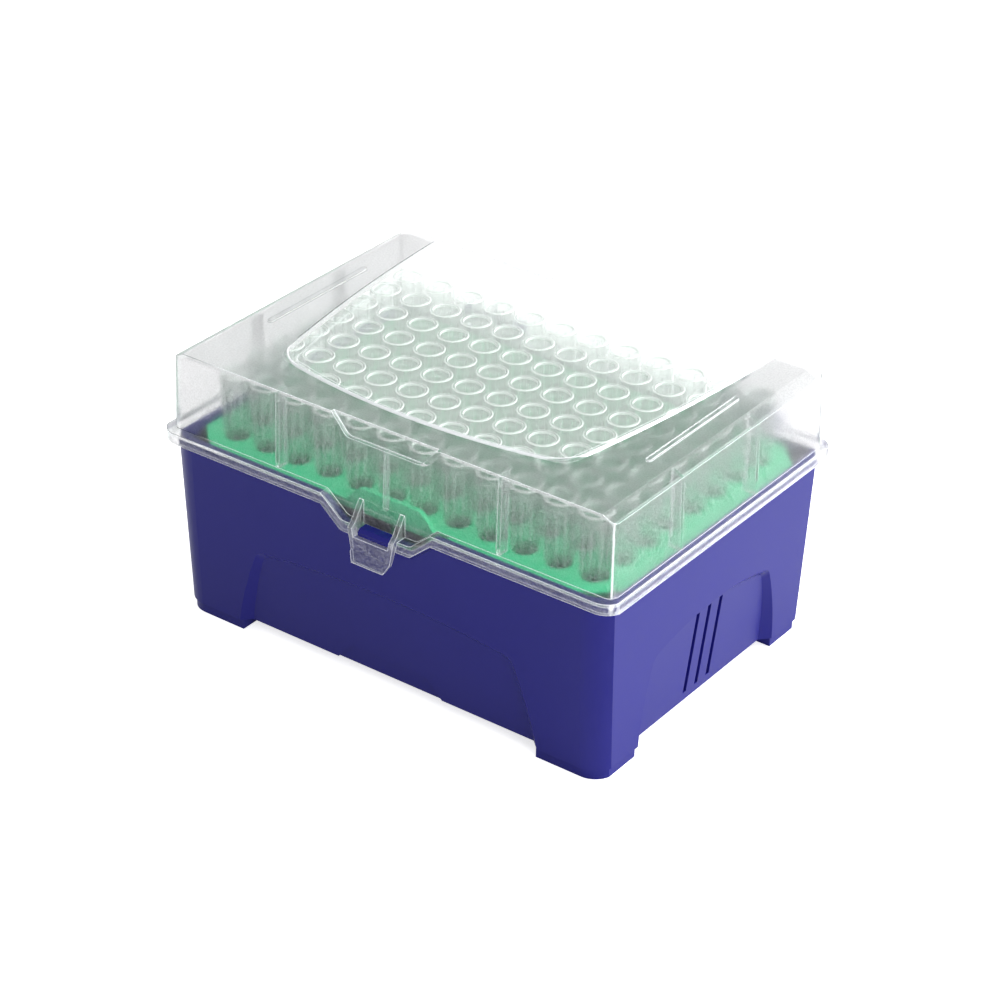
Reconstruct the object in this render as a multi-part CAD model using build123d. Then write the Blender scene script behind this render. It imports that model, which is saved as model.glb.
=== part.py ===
from build123d import *
from math import acos, atan2, cos, degrees, radians, sin, tan
import os

# A box of pipette tips: a drafted tub on four feet, a plate with a hole for each tip, the tips,
# and a clear lid with an integral latch loop, hinged on two pins behind the tub.
# Millimetres. +X along the twelve columns, the latch side faces -Y, +Z up.
# The origin is under the middle of the whole box, hinge and latch included, on the surface it
# stands on. The functions work from the middle of the tub; the pieces are moved as they are written.

# Tip grid
pitch = 9.0
columns = 12
rows = 8
grid_offset_y = -0.6          # the grid sits a little nearer the latch

# Tips
tip_length = 50.5
tip_stand = 16.0              # length that stands above the plate
mouth_radius = 3.8
seat_radius = 3.4             # hub where it rests on the plate
stem_radius = 2.75            # just under the seat
point_radius = 0.6
mouth_bore = 2.95
point_bore = 0.25
tip_floor_gap = 6.4           # point to the tub's floor

# Tub
end_margin = 10.0             # last tip axis to the tub's outer wall at its foot, along X
side_margin = 10.3            # the same along Y
tub_draft = 2.6
end_draft = 1.2                # the short walls stand nearly upright
tub_corner = 6.0
corner_crease = 0.33          # the corners' rounds run on past the short walls and end in a crease
tub_wall = 1.8
foot_height = 2.6
foot_inset = 0.6
foot_length = 17.0
foot_width = 13.4
floor_thickness = 1.8
rim_above_plate = 1.3
rim_step = 0.45               # the rim is set in so that the lid's skirt covers it
rim_step_height = 2.2

# Arched panels sunk into the tub's four sides
panel_depth = 2.24            # at the foot
panel_slope = 2.44            # how far the panel's border runs in over its depth
panel_tilt = 3.2              # a panel leans out from its wall and is shallower at the crown
panel_corner = 3.2
front_panel_foot = 42.5       # half widths of the long panels: at the foot and the shoulder
front_panel_shoulder = 35.7
front_panel_crown = 26.4      # crown of the arch above the standing surface
front_panel_drop = 2.3        # crown to shoulder
front_panel_bulge = 0.65      # bow of the panel's sides
side_panel_foot = 27.5        # the same for the short panels
side_panel_shoulder = 23.2
side_panel_crown = 27.0
side_panel_drop = 3.3
side_panel_bulge = 0.9
notch_foot = 14.6             # shallow thumb notch at the foot of the long panels
notch_top = 10.4
notch_height = 4.7
notch_depth = 0.5
groove_count = 3
groove_pitch = 4.65
groove_width = 1.35
groove_depth = 1.0
groove_low_z = 4.6
groove_high_z = 25.4
groove_lean = 1.5             # shift along the wall from a groove's foot to its head
groove_offset = -0.8          # the three grooves' place on the panel

# Gussets that carry the plate
gusset_thickness = 1.4
gusset_depth = 2.6
gusset_height = 9.0
gusset_columns = (1.5, 5.0)   # places on the long walls, in pitches from the middle
gusset_row = 2.0              # place on the short walls

# Tip plate
plate_thickness = 2.0
plate_skirt = 3.6             # height of the border under the plate
plate_skirt_wall = 1.4
plate_clearance = 0.4
plate_corner = 8.0
hole_clearance = 0.25
plate_rib = 1.0
rib_columns = (-3, 0, 3)      # ribs under the plate, in pitches from the middle
rib_rows = (-2, 0, 2)
tab_half = 12.0               # arched tab at the plate's front
tab_top_half = 8.6
tab_corner = 3.0
tab_notch_half = 16.5         # stretch of the plate's front edge that is set back for the lid
tab_height = 3.9
tab_thickness = 1.2
tab_setback = 2.0             # plate edge to the tab's face
tab_bump_radius = 0.5
tab_bump_rise = 0.3
tab_bump_pitch = 5.0

# Lid
lid_wall = 1.3
lid_gap_above_tips = 4.7
lid_beyond_x = 0.43           # lid wall outside the tub's outline at the rim, along X
lid_inset_y = 1.75            # and inside it along Y
lid_draft = 1.6
lid_corner = 2.2
bevel_width = 3.2
bevel_height = 1.6
ledge_overhang_x = 1.65       # ledge beyond the lid wall
ledge_overhang_y = 2.75
skirt_wall = 1.1
skirt_height = 2.7
skirt_corner = 5.0
skirt_crease = 0.37
rim_gap = 0.1                 # lid ledge over the tub rim

# Dip in the lid's front edge, followed by the tub's rim
dip_top_half = 15.2
dip_floor_half = 9.6
dip_depth = 4.8
dip_corner = 2.0

# Finger recess at the top of the lid's front wall
recess_top_half = 14.4
recess_floor_half = 10.2
recess_height = 4.9
recess_depth = 0.9

# Window on the lid, side bars and inner ribs
window_back_half = 48.3
window_middle_half = 45.5
window_front_half = 39.8
window_back_inset = 1.9       # from the lid's back edge
window_front_inset = 12.3     # corner of the window to the lid's front edge
window_bow = 4.9              # how far the front line bows forward
window_rise = 0.5
window_step = 2.6             # width of the border round the thinned middle
window_corner = 6.0
window_edge_angle = 40.0
bar_inset = 8.2               # lid's side to the bar's centre line
bar_length = 35.5
bar_width = 1.3
bar_rise = 0.5
rib_thickness = 0.9
rib_depth = 2.9
centre_rib_depth = 0.9
rib_end_gap = 0.5             # ribs' feet above the ledge's underside
front_rib_x = 30.5
side_rib_y = 15.0

# Latch loop on the lid and catch on the tub
latch_half = 6.3
latch_low_half = 5.4          # at the crossbar's foot
arm_width = 1.2
fin_height = 5.4              # fins above the dipped ledge
bar_drop = 2.0                # top of the crossbar under the dipped ledge's top
crossbar_height = 3.2
grip_height = 2.5
grip_half = 4.2
grip_thickness = 0.9
grip_shoulder = 0.6           # crossbar's lower edge to where the grip narrows
grip_edge = 0.2               # slope of the grip's lower edge
latch_reach = 2.8             # grip's lip beyond the lid's ledge
latch_thickness = 1.5
latch_lean = 0.42             # the crossbar's back leans out to its foot
loop_gap = 0.1                # crossbar's back beyond the ledge
fin_land = 0.2                # flat top of a fin
fin_toe = 1.2                 # height of a fin's toe over the dipped ledge
catch_bite = 0.5
catch_height = 1.6
catch_chamfer = 0.7
catch_root = 0.5              # depth of the catch's root behind the rim
catch_side_gap = 0.95
catch_back_gap = 0.45
latch_clearance = 0.2

# Hinge
hinge_station_x = 36.0
knuckle_width = 11.0
knuckle_side_gap = 0.5
cheek_thickness = 2.2
pin_radius = 1.6
pin_clearance = 0.3
knuckle_wall = 1.4
hinge_behind_ledge = 2.9      # axis behind the ledge's edge
hinge_below_ledge = 1.6       # axis under the ledge's top
cheek_drop = 9.8
cheek_skirt_gap = 0.5
open_angle = 115.0
stop_radius = 4.9
stop_gap = 0.1
stop_span = 18.0              # the stop's outer face, degrees about the pin
stop_heel = 38.0              # where the stop runs out into the ring
stop_root = 0.4               # stop's root outside the bore
knuckle_mouth = (-145.0, -65.0)   # open stretch of the knuckle, degrees from +Y towards +Z

past = 1.0                    # how far a cut runs beyond the face that it opens

# Derived places
grid_x = (columns - 1) * pitch / 2
grid_y = (rows - 1) * pitch / 2
wall_x = grid_x + end_margin
wall_y = grid_y + side_margin
tub_slope = tan(radians(tub_draft))
end_slope = tan(radians(end_draft))
floor_top = foot_height + floor_thickness
seat_z = floor_top + tip_floor_gap + tip_length - tip_stand
rim_z = seat_z + rim_above_plate
tip_top = seat_z + tip_stand
plate_bottom = seat_z - plate_thickness
skirt_bottom = plate_bottom - plate_skirt
lid_under = rim_z + rim_gap
ledge_z = lid_under + lid_wall
lid_top = tip_top + lid_gap_above_tips + lid_wall
dip_z = ledge_z - dip_depth
dip_slope = (dip_top_half - dip_floor_half) / dip_depth
lid_slope = tan(radians(lid_draft))


def grow(z):
    """How far a long wall's outside stands beyond its foot line at a height."""
    return (z - foot_height) * tub_slope


def end_grow(z):
    """The same for a short wall."""
    return (z - foot_height) * end_slope


def crease_at(z):
    """How far the corners' rounds run on past the short walls at a height."""
    return corner_crease + grow(z) - end_grow(z)


lid_x = wall_x + end_grow(rim_z) + lid_beyond_x
lid_y = wall_y + grow(rim_z) - lid_inset_y
ledge_x = lid_x + ledge_overhang_x
ledge_y = lid_y + ledge_overhang_y
lid_top_x = lid_x - (lid_top - ledge_z) * lid_slope
lid_top_y = lid_y - (lid_top - ledge_z) * lid_slope
hinge_y = ledge_y + hinge_behind_ledge
hinge_z = ledge_z - hinge_below_ledge
rim_x = wall_x + end_grow(rim_z) - rim_step
rim_y = wall_y + grow(rim_z) - rim_step
inner_x = wall_x + end_grow(skirt_bottom) - tub_wall
inner_y = wall_y + grow(skirt_bottom) - tub_wall
plate_x = inner_x - plate_clearance
plate_y = inner_y - plate_clearance
hole_radius = stem_radius + hole_clearance
knuckle_bore = pin_radius + pin_clearance
knuckle_radius = knuckle_bore + knuckle_wall
cheek_radius = hinge_behind_ledge - cheek_skirt_gap
bar_top = dip_z - bar_drop
crossbar_bottom = bar_top - crossbar_height
latch_taper = (latch_half - latch_low_half) / (dip_z - crossbar_bottom)
middle_y = (hinge_behind_ledge + stop_radius - latch_reach) / 2
front_panel = (
    front_panel_foot, front_panel_shoulder, front_panel_crown, front_panel_drop, front_panel_bulge
)
side_panel = (side_panel_foot, side_panel_shoulder, side_panel_crown, side_panel_drop, side_panel_bulge)


def slab(half_x, half_y, corner, low, high, taper=0.0):
    """Upright block with rounded corners, its outline given at the low end."""
    face = Pos(0, 0, low) * RectangleRounded(2 * half_x, 2 * half_y, corner)
    return extrude(face, amount=high - low, taper=taper)


def box(x, y, z):
    """Box between pairs of limits."""
    size = [high - low for low, high in (x, y, z)]
    centre = [(high + low) / 2 for low, high in (x, y, z)]
    return Pos(*centre) * Box(*size)


def front_prism(face, y_low, y_high):
    """Face drawn in X and Z, extruded between two values of Y."""
    plane = Plane(origin=(0, y_high, 0), x_dir=(1, 0, 0), z_dir=(0, -1, 0))
    return extrude(plane * face, amount=y_high - y_low)


def side_prism(face, x_low, x_high):
    """Face drawn in Y and Z, extruded between two values of X."""
    plane = Plane(origin=(x_low, 0, 0), x_dir=(0, 1, 0), z_dir=(1, 0, 0))
    return extrude(plane * face, amount=x_high - x_low)


def creased(half_x, half_y, corner, crease, low, high, draft=0.0, short_draft=0.0):
    """Block whose rounded corners end in a crease at the short faces, sized at its low end."""
    rounded = slab(half_x + crease, half_y, corner, low, high, -draft)
    far_x = half_x + (high - low) * tan(radians(short_draft))
    face = outline((-half_x, low), (half_x, low), (far_x, high), (-far_x, high))
    return rounded & front_prism(face, -2 * half_y, 2 * half_y)


def outline(*points):
    """Flat face inside straight edges."""
    return make_face(Polyline(*points, close=True))


def rounded_at(face, height, radius):
    """The face with its corners at one height rounded."""
    return fillet([v for v in face.vertices() if abs(v.Y - height) < 0.01], radius)


def dip_face(floor, top):
    """Trapezoid of the dip in the front rim, from its floor up."""
    half_top = dip_floor_half + (top - floor) * dip_slope
    face = outline((-half_top, top), (-dip_floor_half, floor), (dip_floor_half, floor), (half_top, top))
    return rounded_at(face, floor, dip_corner)


# Tub

def panel_face(panel, inset):
    """Arched panel's outline on a wall: X along the wall, Y up from the foot line."""
    foot, head, crown, drop, bulge = panel
    foot -= inset
    head -= inset
    crown -= foot_height + inset
    shoulder = crown - drop
    middle = (foot + head) / 2 + bulge
    below = 2 * foot_height
    low_half = foot + below * (foot - head) / shoulder
    edges = [
        Line((-low_half, -below), (-foot, 0)),
        ThreePointArc((-foot, 0), (-middle, shoulder / 2), (-head, shoulder)),
        ThreePointArc((-head, shoulder), (0, crown), (head, shoulder)),
        ThreePointArc((head, shoulder), (middle, shoulder / 2), (foot, 0)),
        Line((foot, 0), (low_half, -below)),
        Line((low_half, -below), (-low_half, -below)),
    ]
    return rounded_at(make_face(edges), shoulder, panel_corner)


def wall_plane(distance, depth, draft):
    """Plane in the front wall's place with a draft, sunk by a depth at the foot line."""
    outward = Vector(0, -cos(radians(draft)), -sin(radians(draft)))
    return Plane(origin=Vector(0, -distance, foot_height) - outward * depth, x_dir=(1, 0, 0), z_dir=outward)


def panel_block(distance, draft, panel, extra):
    """What a panel takes out of the wall, or with extra, what its back takes out of the cavity."""
    run = panel_slope / panel_depth
    depth = panel_depth + extra
    mouth = wall_plane(distance, -past, draft) * panel_face(panel, -past * run - extra)
    back = wall_plane(distance, depth, draft) * panel_face(panel, panel_slope - extra)
    sheet = Rectangle(4 * distance, 4 * rim_z)
    front = extrude(wall_plane(distance, depth, draft + panel_tilt) * sheet, amount=2 * depth + past)
    return loft([mouth, back], ruled=True) & front


def thumb_notch():
    """Shallow notch at the foot of a long panel, in the front wall's place."""
    low = -2 * foot_height
    flare = (notch_foot - notch_top) / notch_height
    low_half = notch_foot - low * flare
    face = outline((-low_half, low), (-notch_top, notch_height), (notch_top, notch_height), (low_half, low))
    plane = wall_plane(wall_y, panel_depth + notch_depth, tub_draft + panel_tilt)
    return extrude(plane * face, amount=notch_depth + past)


def grooves():
    """Leaning grooves on a short panel, in the front wall's place."""
    low = groove_low_z - foot_height
    high = groove_high_z - foot_height
    half = groove_width / 2
    plane = wall_plane(wall_x, panel_depth + groove_depth, end_draft + panel_tilt)
    cuts = []
    for k in range(groove_count):
        foot = (k - (groove_count - 1) / 2) * groove_pitch - groove_lean / 2 + groove_offset
        head = foot + groove_lean
        face = outline((foot - half, low), (foot + half, low), (head + half, high), (head - half, high))
        cuts.append(extrude(plane * face, amount=groove_depth + past))
    return cuts


def tub_outside():
    """Drafted block with its four panels, feet and rim step."""
    body = creased(
        wall_x, wall_y, tub_corner, corner_crease, foot_height, rim_z, tub_draft, end_draft
    )
    step_z = rim_z - rim_step_height
    rim_corner = tub_corner + grow(rim_z) - rim_step
    around = slab(ledge_x + past, ledge_y + past, tub_corner, step_z, rim_z + past)
    body -= around - creased(rim_x, rim_y, rim_corner, crease_at(rim_z), step_z, rim_z + past)
    for turn in (0, 180):
        body -= Rot(0, 0, turn) * panel_block(wall_y, tub_draft, front_panel, 0)
        body -= Rot(0, 0, turn) * thumb_notch()
    for turn in (90, -90):
        body -= Rot(0, 0, turn) * panel_block(wall_x, end_draft, side_panel, 0)
        body -= [Rot(0, 0, turn) * cut for cut in grooves()]
    foot_x = wall_x - foot_inset
    foot_y = wall_y - foot_inset
    feet = creased(foot_x, foot_y, tub_corner - foot_inset, corner_crease, 0, foot_height)
    feet -= box((-foot_x + foot_length, foot_x - foot_length), (-wall_y, wall_y), (-past, foot_height))
    feet -= box((-wall_x, wall_x), (-foot_y + foot_width, foot_y - foot_width), (-past, foot_height))
    return body + feet


def tub_cavity():
    """Inside of the tub, which follows the backs of the sunk panels."""
    half_x = wall_x + end_grow(floor_top) - tub_wall
    half_y = wall_y + grow(floor_top) - tub_wall
    corner = tub_corner - tub_wall
    crease = crease_at(floor_top)
    hollow = creased(half_x, half_y, corner, crease, floor_top, rim_z + past, tub_draft, end_draft)
    for turn in (0, 180):
        hollow -= Rot(0, 0, turn) * panel_block(wall_y, tub_draft, front_panel, tub_wall)
    for turn in (90, -90):
        hollow -= Rot(0, 0, turn) * panel_block(wall_x, end_draft, side_panel, tub_wall)
    return hollow


def gusset(distance, along):
    """Three-cornered gusset on the front wall's inside, its top under the plate's border."""
    root = -distance - tub_wall / 3
    low = skirt_bottom - gusset_height
    face = outline((root, skirt_bottom), (-distance + gusset_depth, skirt_bottom), (root, low))
    return side_prism(face, along - gusset_thickness / 2, along + gusset_thickness / 2)


def gussets():
    """Four gussets on each long wall and two on each short one."""
    along_x = [side * place * pitch for side in (-1, 1) for place in gusset_columns]
    along_y = [side * gusset_row * pitch for side in (-1, 1)]
    made = [Rot(0, 0, turn) * gusset(inner_y, x) for turn in (0, 180) for x in along_x]
    return made + [Rot(0, 0, turn) * gusset(inner_x, y) for turn in (90, -90) for y in along_y]


def catch():
    """Ledge under which the latch's crossbar snaps."""
    half = latch_half - arm_width - catch_side_gap
    nose = ledge_y + loop_gap + catch_bite
    under = bar_top + latch_clearance
    top = under + catch_height
    back = lid_y + catch_back_gap
    face = outline(
        (-back, under - catch_root),
        (-back, top),
        (-nose + catch_chamfer, top),
        (-nose, top - catch_chamfer),
        (-nose, under),
        (-rim_y, under),
        (-rim_y, under - catch_root),
    )
    return side_prism(face, -half, half)


def hinge_bracket(x):
    """Two cheeks behind the tub with a pin between them."""
    half = knuckle_width / 2 + knuckle_side_gap
    root = wall_y + grow(hinge_z - cheek_drop) - tub_wall / 2
    near = ledge_y + cheek_skirt_gap
    below_skirt = ledge_z - skirt_height - cheek_skirt_gap
    boss = Pos(hinge_y, hinge_z) * Circle(cheek_radius)
    foot = Line((root, below_skirt), (root, hinge_z - cheek_drop))
    face = make_hull([*boss.edges(), foot])
    reach = ledge_z - below_skirt
    face -= Pos(near, below_skirt) * Rectangle(near, reach, align=(Align.MAX, Align.MIN))
    pieces = [side_prism(face, x + half, x + half + cheek_thickness)]
    pieces.append(side_prism(face, x - half - cheek_thickness, x - half))
    pin = Pos(hinge_y, hinge_z) * Circle(pin_radius)
    pin_half = half + cheek_thickness / 2
    pieces.append(side_prism(pin, x - pin_half, x + pin_half))
    return pieces


def tub():
    """The tub as one moulding."""
    body = tub_outside() - tub_cavity()
    body += gussets()
    floor = dip_z - lid_wall - rim_gap
    body -= front_prism(dip_face(floor, rim_z + past), -ledge_y, -plate_y)
    body -= front_prism(dip_face(floor - rim_step_height, rim_z + past), -ledge_y, -rim_y)
    body += catch()
    for x in (-hinge_station_x, hinge_station_x):
        body += hinge_bracket(x)
    return body


# Tip plate

def plate_face(inset):
    """Plate's outline with cut corners and the stretch set back behind the lid's dip."""
    half_x = plate_x - inset
    half_y = plate_y - inset
    face = chamfer(Rectangle(2 * half_x, 2 * half_y).vertices(), plate_corner)
    setback = Pos(0, -half_y) * Rectangle(2 * (tab_notch_half + inset), 2 * tab_setback)
    return face - setback


def front_tab():
    """Arched tab that stands at the front of the plate, with three small bumps."""
    face_y = plate_y - tab_setback
    top = seat_z + tab_height
    face = outline(
        (-tab_half, seat_z - plate_thickness / 2),
        (-tab_half, seat_z),
        (-tab_top_half, top),
        (tab_top_half, top),
        (tab_half, seat_z),
        (tab_half, seat_z - plate_thickness / 2),
    )
    tab = front_prism(rounded_at(face, top, tab_corner), -face_y, -face_y + tab_thickness)
    for k in (-1, 0, 1):
        bump = Pos(k * tab_bump_pitch, seat_z + tab_height / 2) * Circle(tab_bump_radius)
        tab += front_prism(bump, -face_y - tab_bump_rise, -face_y)
    return tab


def tip_centres():
    """Grid places, column by column from -X, each from the latch side back."""
    return [
        [(k * pitch - grid_x, j * pitch - grid_y + grid_offset_y) for j in range(rows)]
        for k in range(columns)
    ]


def tip_plate():
    """Plate with a hole for each tip, a border and ribs under it."""
    body = extrude(Pos(0, 0, skirt_bottom) * plate_face(0), amount=seat_z - skirt_bottom)
    under = extrude(Pos(0, 0, skirt_bottom) * plate_face(plate_skirt_wall), amount=plate_skirt)
    half = plate_rib / 2
    ribs = []
    for x in [k * pitch for k in rib_columns]:
        ribs.append(box((x - half, x + half), (-plate_y, plate_y), (skirt_bottom, plate_bottom)))
    for y in [k * pitch + grid_offset_y for k in rib_rows]:
        ribs.append(box((-plate_x, plate_x), (y - half, y + half), (skirt_bottom, plate_bottom)))
    body -= under - ribs
    open_y = (-plate_y, -plate_y + tab_setback + plate_skirt_wall)
    body -= box((-tab_notch_half, tab_notch_half), open_y, (skirt_bottom - past, plate_bottom))
    body += front_tab()
    holes = Sketch() + [Pos(x, y) * Circle(hole_radius) for column in tip_centres() for x, y in column]
    return body - extrude(Pos(0, 0, plate_bottom - past) * holes, amount=plate_thickness + 2 * past)


# Tips

def tip():
    """One tip on its own axis: a hub that stands on the plate and a stem that tapers to the point."""
    low = tip_stand - tip_length
    half = outline(
        (point_bore, low),
        (point_radius, low),
        (stem_radius, 0),
        (seat_radius, 0),
        (mouth_radius, tip_stand),
        (mouth_bore, tip_stand),
    )
    return Pos(0, 0, seat_z) * revolve(Plane.XZ * half, axis=Axis.Z)


# Lid

def bevel_wedges(inset):
    """Wedges that cut the lid's two long top edges, or its inside with an inset."""
    turn = atan2(bevel_height, bevel_width)
    inner = lid_top_x - bevel_width - inset * tan(turn / 2)
    outer = ledge_x + past
    high = lid_top - inset
    low = high - (outer - inner) * tan(turn)
    face = outline((inner, high), (inner, lid_top + past), (outer, lid_top + past), (outer, low))
    wedge = front_prism(face, -ledge_y, ledge_y)
    return [wedge, mirror(wedge, Plane.YZ)]


def window_face(inset):
    """Window on the lid: straight behind, bowed sides and front."""
    back = lid_top_y - window_back_inset - inset
    front = -lid_top_y + window_front_inset + inset
    middle = (back + front) / 2
    back_half = window_back_half - inset
    middle_half = window_middle_half - inset
    front_half = window_front_half - inset
    edges = [
        ThreePointArc((-back_half, back), (-middle_half, middle), (-front_half, front)),
        ThreePointArc((-front_half, front), (0, front - window_bow), (front_half, front)),
        ThreePointArc((front_half, front), (middle_half, middle), (back_half, back)),
        Line((back_half, back), (-back_half, back)),
    ]
    return rounded_at(make_face(edges), front, window_corner - inset)


def recess_face(grown):
    """Finger recess at the top of the lid's front wall."""
    low = lid_top - recess_height - grown
    flare = (recess_top_half - recess_floor_half) / recess_height
    high = lid_top + past
    low_half = recess_floor_half + grown
    high_half = low_half + (high - low) * flare
    face = outline((-high_half, high), (-low_half, low), (low_half, low), (high_half, high))
    return rounded_at(face, low, dip_corner)


def lid_outside():
    """Outside of the lid, with its ledge, skirt and the dip at the front, still filled."""
    body = slab(lid_x, lid_y, lid_corner, ledge_z, lid_top, lid_draft)
    body -= bevel_wedges(0)
    skirt_low = ledge_z - skirt_height
    body += creased(ledge_x, ledge_y, skirt_corner, skirt_crease, lid_under, ledge_z)
    skirt = creased(ledge_x, ledge_y, skirt_corner, skirt_crease, skirt_low, ledge_z)
    within_x = ledge_x - skirt_wall
    within_y = ledge_y - skirt_wall
    within_corner = skirt_corner - skirt_wall
    body += skirt - creased(within_x, within_y, within_corner, skirt_crease, skirt_low, ledge_z)
    inner_face = lid_y - lid_wall
    body += front_prism(dip_face(dip_z - lid_wall, ledge_z), -ledge_y, -inner_face)
    body += front_prism(dip_face(dip_z - skirt_height, skirt_low), -ledge_y, -ledge_y + skirt_wall)
    body -= front_prism(dip_face(dip_z, ledge_z + past), -ledge_y - past, -lid_y)
    body -= front_prism(recess_face(0), -ledge_y, -lid_top_y + recess_depth)
    return body


def lid_cavity():
    """Inside of the lid above its ledge."""
    low = lid_under - past
    half_x = lid_x - lid_wall + (ledge_z - low) * lid_slope
    half_y = lid_y - lid_wall + (ledge_z - low) * lid_slope
    hollow = slab(half_x, half_y, lid_corner - lid_wall, low, lid_top - lid_wall, lid_draft)
    hollow -= bevel_wedges(lid_wall)
    recess_back = -lid_top_y + recess_depth + lid_wall
    hollow -= front_prism(recess_face(lid_wall / 2), -ledge_y, recess_back)
    thinned = Pos(0, 0, lid_top - lid_wall - past) * window_face(window_step)
    return hollow + extrude(thinned, amount=window_rise + past)


def top_details():
    """Raised window border and the two long bars beside it."""
    window = Pos(0, 0, lid_top) * window_face(0)
    pieces = [extrude(window, amount=window_rise, taper=window_edge_angle)]
    for side in (-1, 1):
        bar = Rot(0, 0, 90) * SlotOverall(bar_length, bar_width)
        pieces.append(extrude(Pos(side * (lid_top_x - bar_inset), 0, lid_top) * bar, amount=bar_rise))
    return pieces


def wall_rib(distance, along, depth, bottom):
    """Upright rib inside the front wall, from near the ledge to the lid's top."""
    half = rib_thickness / 2
    limits_y = (-distance + lid_wall / 2, -distance + lid_wall + depth)
    return box((along - half, along + half), limits_y, (bottom, lid_top - lid_wall / 2))


def wall_ribs():
    """Three ribs on each long wall and two on each short one."""
    bottom = lid_under + rib_end_gap
    ribs = []
    for turn, depth in ((0, centre_rib_depth), (180, rib_depth)):
        ribs.append(Rot(0, 0, turn) * wall_rib(lid_y, 0, depth, bottom))
        for side in (-1, 1):
            ribs.append(Rot(0, 0, turn) * wall_rib(lid_y, side * front_rib_x, rib_depth, bottom))
    for turn in (90, -90):
        for side in (-1, 1):
            ribs.append(Rot(0, 0, turn) * wall_rib(lid_x, side * side_rib_y, rib_depth, bottom))
    return ribs


def latch():
    """Two fins that run down as arms over the ledge, with a crossbar and a flared grip."""
    front = ledge_y + latch_thickness
    lip = ledge_y + latch_reach
    low = crossbar_bottom - grip_height
    high = dip_z + fin_height
    back = ledge_y + loop_gap
    root = lid_y - lid_wall / 3
    side = outline(
        (-root, high),
        (-lid_y - fin_land, high),
        (-ledge_y - fin_land, dip_z + fin_toe),
        (-front, dip_z),
        (-front, crossbar_bottom),
        (-lip, low),
        (-lip + grip_thickness, low - grip_edge),
        (-back - latch_lean, crossbar_bottom),
        (-back, bar_top),
        (-back, dip_z - lid_wall),
        (-root, dip_z - lid_wall),
    )
    shoulder = crossbar_bottom - grip_shoulder
    face = outline(
        (-latch_half, high),
        (latch_half, high),
        (latch_half, dip_z),
        (latch_low_half, crossbar_bottom),
        (latch_low_half, shoulder),
        (grip_half, low - grip_edge),
        (-grip_half, low - grip_edge),
        (-latch_low_half, shoulder),
        (-latch_low_half, crossbar_bottom),
        (-latch_half, dip_z),
    )
    return side_prism(side, -latch_half, latch_half) & front_prism(face, -lip - past, -root)


def latch_window():
    """Opening between the arms, and the stretch of ledge and skirt that is left out there."""
    half = latch_half - arm_width
    low_half = half - (dip_z - bar_top) * latch_taper
    high = dip_z + fin_height + past
    left = (-half, high), (-half, dip_z), (-low_half, bar_top)
    right = (low_half, bar_top), (half, dip_z), (half, high)
    face = outline(*left, *right)
    above = front_prism(face, -ledge_y - latch_reach, -lid_y)
    low = dip_z - skirt_height - past
    behind = box((-half, half), (-ledge_y - loop_gap / 2, -lid_y), (low, dip_z))
    return [above, behind]


def stop_angle():
    """Direction of the stop's corner with the lid shut, in degrees from +Y towards +Z."""
    wall = wall_y + grow(hinge_z - stop_radius / 2)
    reach = hinge_y - wall - stop_gap
    return degrees(acos(reach / stop_radius)) - 180 + open_angle


def around_hinge(radius, angle):
    """Point about the hinge axis, in Y and Z."""
    return (hinge_y + radius * cos(radians(angle)), hinge_z + radius * sin(radians(angle)))


def knuckle(x):
    """Open ring that snaps over a pin, its tongue to the ledge, and the stop for the open lid."""
    start, end = knuckle_mouth
    far = 2 * knuckle_radius
    mouth = outline(
        (hinge_y, hinge_z),
        around_hinge(far, start),
        around_hinge(far, (start + end) / 2),
        around_hinge(far, end),
    )
    root = ledge_y - skirt_wall / 2
    tongue = outline(
        (root, lid_under),
        (root, ledge_z),
        (hinge_y - knuckle_wall / 4, hinge_z + knuckle_bore + knuckle_wall),
        (hinge_y, hinge_z),
    )
    lead = stop_angle()
    stop = outline(
        around_hinge(knuckle_bore + stop_root, lead),
        around_hinge(stop_radius, lead),
        around_hinge(stop_radius, lead + stop_span),
        around_hinge(knuckle_radius, lead + stop_heel),
        around_hinge(knuckle_bore + stop_root, lead + stop_span),
    )
    ring = Pos(hinge_y, hinge_z) * Circle(knuckle_radius) - mouth
    face = ring + tongue + stop - Pos(hinge_y, hinge_z) * Circle(knuckle_bore)
    return side_prism(face, x - knuckle_width / 2, x + knuckle_width / 2)


def lid():
    """The lid as one moulding."""
    outside = lid_outside()
    ribs = [rib & outside for rib in wall_ribs()]
    body = outside - lid_cavity()
    body += ribs
    body += top_details()
    body += latch()
    body -= latch_window()
    for x in (-hinge_station_x, hinge_station_x):
        body += knuckle(x)
    return body


def write(name, shape):
    """One STEP file for one node, in the whole box's frame."""
    shape.label = name
    export_step(shape, f"parts/{name}.step")


os.makedirs("parts", exist_ok=True)
into_frame = Pos(0, -middle_y, 0)
write("tub", into_frame * tub())
write("tip_plate", into_frame * tip_plate())
write("lid", into_frame * lid())
one_tip = into_frame * tip()
for number, column in enumerate(tip_centres(), start=1):
    write(f"tips_column_{number:02d}", Compound(children=[Pos(x, y, 0) * one_tip for x, y in column]))
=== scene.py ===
"""Box of pipette tips: plastics, detailed tips, floor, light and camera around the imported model."""

import math

import bmesh
import bpy
from mathutils import Matrix, Vector


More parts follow.
